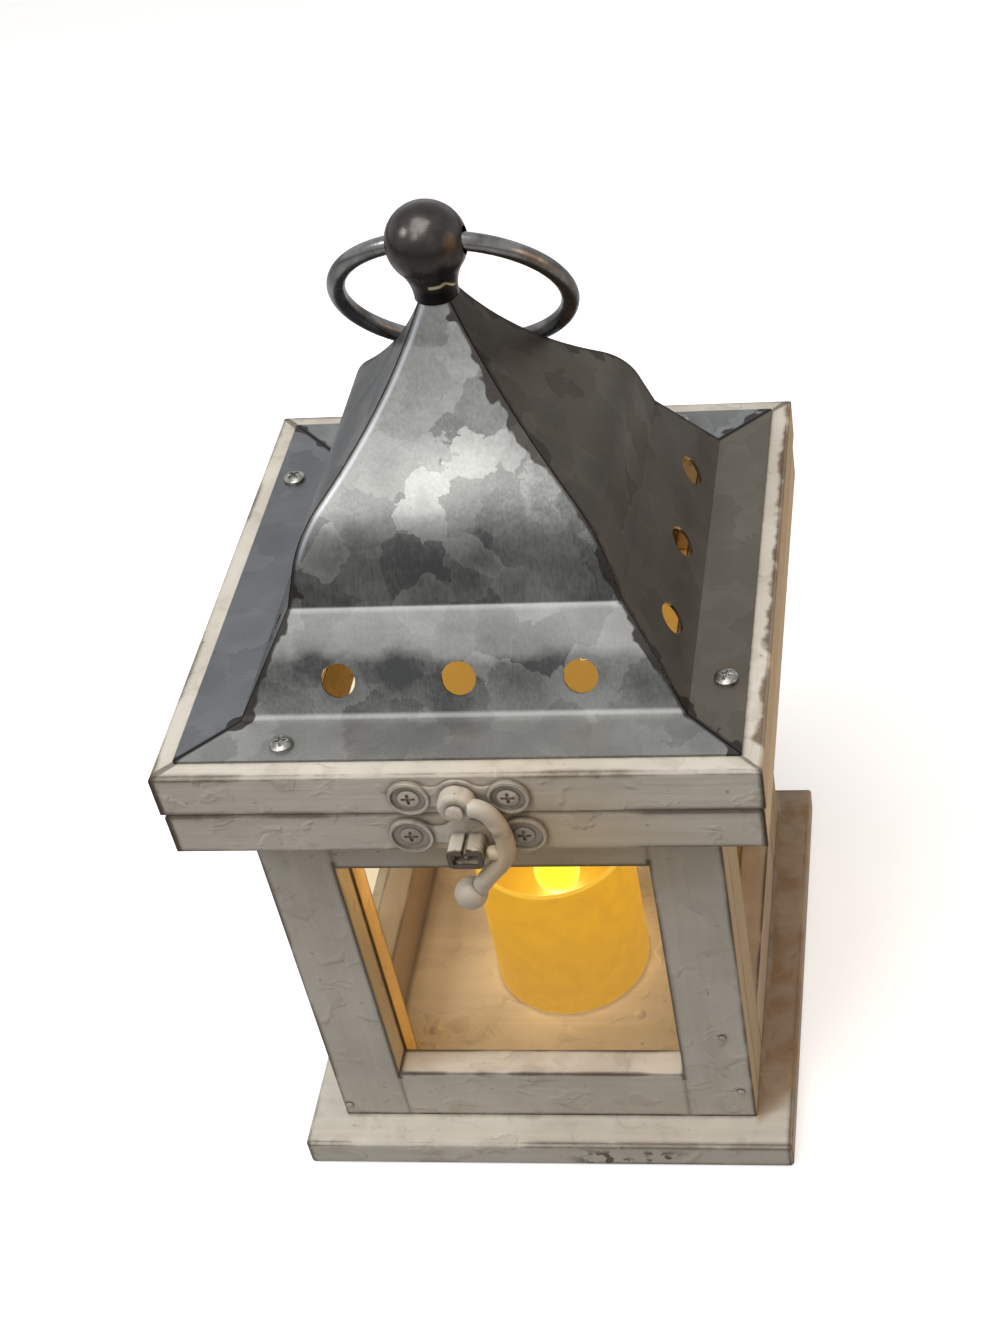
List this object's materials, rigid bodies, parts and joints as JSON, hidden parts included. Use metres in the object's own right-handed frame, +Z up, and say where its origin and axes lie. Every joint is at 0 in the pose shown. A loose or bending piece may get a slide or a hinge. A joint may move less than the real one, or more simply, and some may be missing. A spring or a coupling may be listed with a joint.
{
  "type": "lantern",
  "caption": "Square glazed wooden lantern with a hinged sheet metal pagoda roof, punched vents, ball finial with pull ring, swing hook latch and battery candle.",
  "frame": {"origin": "middle of the underside of the base board", "axes": "+Z up, -Y towards the latch side (front), +X to the right seen from the front"},
  "size_m": [0.15, 0.1621, 0.2754],
  "materials": {
    "base_paint": "worn chalky whitewash",
    "frame_paint": "worn chalky whitewash",
    "case_paint": "worn chalky whitewash",
    "glass": "clear",
    "galvanised_sheet": "galvanised, mottled",
    "screw_steel": "zinc plated",
    "dark_metal": "dark pewter",
    "plain_steel": "plain",
    "painted_hardware": "painted over with the wood",
    "candle_wax": "translucent amber",
    "lamp": "lit",
    "candle_plastic": "plain",
    "battery_steel": "bright"
  },
  "bodies": {
    "case": {"base_board": "base_paint", "front_stile_left": "case_paint", "front_stile_right": "case_paint", "front_rail_bottom": "case_paint", "front_rail_top": "case_paint", "back_stile_left": "case_paint", "back_stile_right": "case_paint", "back_rail_bottom": "case_paint", "back_rail_top": "case_paint", "left_stile_front": "case_paint", "left_stile_back": "case_paint", "left_rail_bottom": "case_paint", "left_rail_top": "case_paint", "right_stile_front": "case_paint", "right_stile_back": "case_paint", "right_rail_bottom": "case_paint", "right_rail_top": "case_paint", "corner_post_front_left": "case_paint", "corner_post_front_right": "case_paint", "corner_post_back_left": "case_paint", "corner_post_back_right": "case_paint", "glass_front": "glass", "glass_back": "glass", "glass_left": "glass", "glass_right": "glass", "frame_strip_front": "frame_paint", "frame_strip_right": "frame_paint", "frame_strip_back": "frame_paint", "frame_strip_left": "frame_paint", "hinge_leaves_body": "plain_steel", "hinge_pins": "plain_steel", "hinge_screws_body": "plain_steel", "catch_plate": "painted_hardware", "catch_screws": "painted_hardware"},
    "lid": {"lid_strip_front": "frame_paint", "lid_strip_right": "frame_paint", "lid_strip_back": "frame_paint", "lid_strip_left": "frame_paint", "roof_panel_front": "galvanised_sheet", "roof_panel_right": "galvanised_sheet", "roof_panel_back": "galvanised_sheet", "roof_panel_left": "galvanised_sheet", "roof_screws": "screw_steel", "finial_ball": "dark_metal", "finial_clamp_plate": "plain_steel", "finial_nut": "plain_steel", "hinge_leaves_lid": "plain_steel", "hinge_screws_lid": "plain_steel", "latch_plate": "painted_hardware", "latch_screws": "painted_hardware", "latch_rivet": "painted_hardware"},
    "hook": {"latch_hook": "painted_hardware"},
    "ring": {"pull_ring": "dark_metal"},
    "candle": {"candle_shell": "candle_wax", "candle_flame": "lamp", "candle_housing": "candle_plastic", "candle_battery": "battery_steel", "battery_door": "candle_plastic"},
    "switch": {"candle_switch": "candle_plastic"}
  },
  "joints": [
    {"name": "lid_hinge", "type": "hinge", "parent": "case", "child": "lid", "pos_m": [0, 0.0768, 0.1516], "axis": [-1, 0, 0], "range_deg": [0, 170]},
    {"name": "hook_swing", "type": "hinge", "parent": "lid", "child": "hook", "pos_m": [0.0012, -0.079, 0.1583], "axis": [0, -1, 0], "range_deg": [0, 150]},
    {"name": "ring_swing", "type": "hinge", "parent": "lid", "child": "ring", "pos_m": [0, 0, 0.2656], "axis": [1, 0, 0], "range_deg": [0, 296]},
    {"name": "candle_lift", "type": "slide", "parent": "case", "child": "candle", "axis": [0, 0, 1], "range_m": [0, 0.143]},
    {"name": "switch_slide", "type": "slide", "parent": "candle", "child": "switch", "axis": [1, 0, 0], "range_m": [0, 0.0036]}
  ]
}
